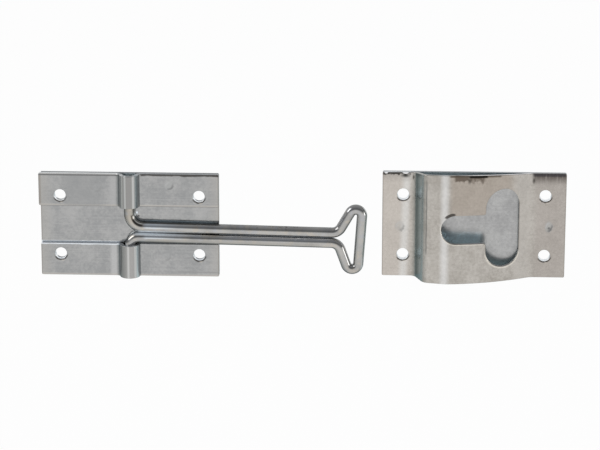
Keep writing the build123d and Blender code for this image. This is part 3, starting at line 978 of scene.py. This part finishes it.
def paint_arms(zinc):
    """Painted light on the backs and gap, painted highlights on the fronts and the lower arm's top. Gives the
    gap's mask and height from gap.
    """
    over_plate = zinc.band(zinc.x, *over_plate_x)
    from_gap = zinc.total(zinc.z, zinc.product(zinc.x, arm_slope), -arm_gap_z)
    # Painted light on the backs and in the gap, painted highlights on the fronts and the lower arm's top
    zinc.paint(zinc.product(over_plate, zinc.rise(zinc.face_y, *wire_back_rise)), wire_back_light_coat)
    upper_front, lower_front = [zinc.band(from_gap, *front) for front in arm_fronts]
    near_bend = zinc.product(zinc.rise(zinc.x, *near_bend_end_x), zinc.rise(zinc.x, *near_bend_start_x))
    zinc.paint(zinc.product(near_bend, zinc.larger(upper_front, lower_front)), arm_front_highlight_coat)
    in_gap = zinc.product(over_plate, zinc.rise(zinc.x, *gap_x), zinc.band(from_gap, *gap_band))
    zinc.paint(in_gap, gap_light_coat)
    lower_top = zinc.product(zinc.band(from_gap, *lower_top_band), zinc.band(zinc.x, *lower_top_x))
    zinc.paint(lower_top, lower_top_highlight_coat)
    return in_gap, from_gap


def paint_wire_end(zinc):
    """Painted highlights on the outer and inner sides of the T-shaped end."""
    end_bar = zinc.rise(zinc.x, *end_bar_x)
    # Painted highlights on the end's outer and inner sides
    zinc.paint(zinc.product(zinc.rise(zinc.face_x, *outer_side_rise), end_bar), outer_side_highlight_coat)
    zinc.paint(zinc.product(zinc.rise(zinc.face_x, *inner_side_rise), end_bar), inner_side_highlight_coat)


def paint_arm_wear(zinc, from_gap):
    """Duller front of the lower arm, with dirt specks and worn bright specks."""
    lower_front = zinc.product(zinc.band(from_gap, *lower_front_band), zinc.band(zinc.x, *lower_front_x))
    zinc.paint(lower_front, lower_front_coat)
    specks = zinc.rise(zinc.noise(zinc.where, **speck_noise), *speck_rise)
    dirty = zinc.product(zinc.band(zinc.x, *dirty_x), zinc.rise(zinc.z, *dirty_z))
    zinc.paint(zinc.product(dirty, specks), dirty_coat)
    worn = zinc.product(zinc.band(zinc.x, *worn_x), zinc.band(zinc.z, *worn_z))
    zinc.paint(zinc.product(worn, specks), worn_coat)


def wire_material():
    """Bright drawn wire: browner at the upper bend with a painted reflection inside it, painted light and
    highlights, specks along the arms.
    """
    zinc = Zinc("wire_zinc_bright")
    zinc.colour = zinc.mix(zinc.rise(zinc.cloud, *wire_shade_rise), wire_dark, wire_light)
    paint_upper_bend(zinc)
    in_gap, from_gap = paint_arms(zinc)
    paint_wire_end(zinc)
    paint_arm_wear(zinc, from_gap)
    zinc.roughness = zinc.total(
        wire_roughness,
        zinc.spread(zinc.cloud, *wire_cloud_roughness),
        zinc.spread(zinc.grain, *wire_grain_roughness),
        zinc.product(in_gap, gap_roughness),
    )
    zinc.height = zinc.total(
        zinc.product(zinc.grain, wire_grain_height),
        zinc.product(zinc.cloud, cloud_height),
        zinc.product(zinc.noise(zinc.where, **drawn_noise), drawn_height),
    )
    return zinc.finish(wire_bump, wire_edge_tint)


def dress(node, material):
    nodes[node].data.materials.clear()
    nodes[node].data.materials.append(material)


def square(name, middle, width, material):
    """Flat square that faces up."""
    half = width / 2
    corners = [(-half, -half, 0), (half, -half, 0), (half, half, 0), (-half, half, 0)]
    mesh = bpy.data.meshes.new(name)
    mesh.from_pydata(corners, [], [(0, 1, 2, 3)])
    mesh.materials.append(material)
    thing = bpy.data.objects.new(name, mesh)
    bpy.context.scene.collection.objects.link(thing)
    thing.location = middle
    return thing


def colour_ramp(graph, value, stops):
    ramp = graph.add("ShaderNodeValToRGB", None, Fac=value)
    elements = ramp.color_ramp.elements
    while len(elements) < len(stops):
        elements.new(0.5)
    for element, (position, colour) in zip(elements, stops):
        element.position = position
        element.color = colour
    return ramp.outputs[0]


def build_floor():
    """White floor: plain white to the eye and in reflections, and a surface that takes the shadow."""
    material = new_material("floor_white")
    graph = Graph(material.node_tree)
    path = graph.add("ShaderNodeLightPath")
    seen = graph.larger(path.outputs["Is Camera Ray"], path.outputs["Is Glossy Ray"])
    seen = graph.larger(seen, path.outputs["Is Transmission Ray"])
    seen = graph.product(seen, white_share)
    paper = graph.add("ShaderNodeBsdfDiffuse", None, Color=grey(floor_grey))
    white = graph.add("ShaderNodeEmission", None, Color=grey(1.0), Strength=1.0)
    both = graph.add("ShaderNodeMixShader", None, s0=seen, s1=paper.outputs[0], s2=white.outputs[0])
    graph.add("ShaderNodeOutputMaterial", None, Surface=both.outputs[0])
    floor = square("floor", (0.0, 0.0, floor_level), floor_width, material)


def build_card():
    """Card just over the floor that only the metal sees: white in front, and grey at the sides and behind."""
    material = new_material("card_graded")
    graph = Graph(material.node_tree)
    place = graph.parts(graph.add("ShaderNodeNewGeometry").outputs["Position"])
    to_right = graph.minus(place[0], middle_of_part[0])
    to_front = graph.product(place[1], -1.0)
    turn = graph.math("DIVIDE", graph.math("ARCTAN2", to_right, to_front), 2 * math.pi)
    turn = graph.total(turn, 0.5)
    shade = graph.add("ShaderNodeEmission", None, Color=colour_ramp(graph, turn, card_shades), Strength=1.0)
    graph.add("ShaderNodeOutputMaterial", None, Surface=shade.outputs[0])
    card = square("card", (middle_of_part[0], middle_of_part[1], card_level), card_width, material)
    card.visible_camera = False
    card.visible_diffuse = False
    card.visible_transmission = False
    card.visible_shadow = False


def build_world():
    """Soft studio light: dark in front above the floor, and paler overhead and towards the back."""
    world = bpy.data.worlds.new("studio")
    bpy.context.scene.world = world
    world.use_nodes = True
    graph = Graph(world.node_tree)
    direction = graph.parts(graph.add("ShaderNodeTexCoord").outputs["Generated"])
    to_front = graph.product(direction[1], -1.0)
    turn = graph.math("DIVIDE", graph.math("ARCTAN2", direction[2], to_front), math.pi)
    shade = colour_ramp(graph, turn, world_shades)
    light = graph.add("ShaderNodeBackground", None, Color=shade, Strength=1.0)
    graph.add("ShaderNodeOutputWorld", None, Surface=light.outputs[0])


def build_camera():
    forward = Vector((
        -math.sin(view_azimuth) * math.cos(view_elevation),
        math.cos(view_azimuth) * math.cos(view_elevation),
        -math.sin(view_elevation),
    ))
    level = Vector((math.cos(view_azimuth), math.sin(view_azimuth), 0.0))
    upright = level.cross(forward)
    right = level * math.cos(view_roll) + upright * math.sin(view_roll)
    up = upright * math.cos(view_roll) - level * math.sin(view_roll)
    camera = bpy.data.objects.new("camera", bpy.data.cameras.new("camera"))
    bpy.context.scene.collection.objects.link(camera)
    camera.data.sensor_fit = "HORIZONTAL"
    camera.data.sensor_width = sensor_width
    camera.data.lens = focal_length
    camera.data.clip_start = nearest_seen
    camera.data.clip_end = farthest_seen
    eye = view_target - forward * view_distance
    turned = Matrix((right, up, -forward)).transposed().to_4x4()
    camera.matrix_world = Matrix.Translation(eye) @ turned
    bpy.context.scene.camera = camera


def build_lamp(name, middle, size, watts):
    """Rectangular lamp that shines at the middle of the part."""
    light = bpy.data.lights.new(name, "AREA")
    light.shape = "RECTANGLE"
    light.size, light.size_y = size
    light.energy = watts
    thing = bpy.data.objects.new(name, light)
    bpy.context.scene.collection.objects.link(thing)
    thing.location = middle
    direction = Vector(middle_of_part) - Vector(middle)
    thing.rotation_euler = direction.to_track_quat("-Z", "Y").to_euler()


dress("hook_back_plate", hook_back_plate_material())
dress("upper_strap", upper_strap_material())
dress("lower_strap", lower_strap_material())
dress("wire_hook", wire_material())
dress("keeper_back_plate", keeper_back_plate_material())
dress("keeper_front", keeper_front_material())

build_floor()
build_card()
build_world()
build_camera()
build_lamp("key_light", key_lamp_middle, key_lamp_size, key_lamp_watts)
build_lamp("side_light", side_lamp_middle, side_lamp_size, side_lamp_watts)

bpy.context.scene.view_settings.view_transform = "Standard"
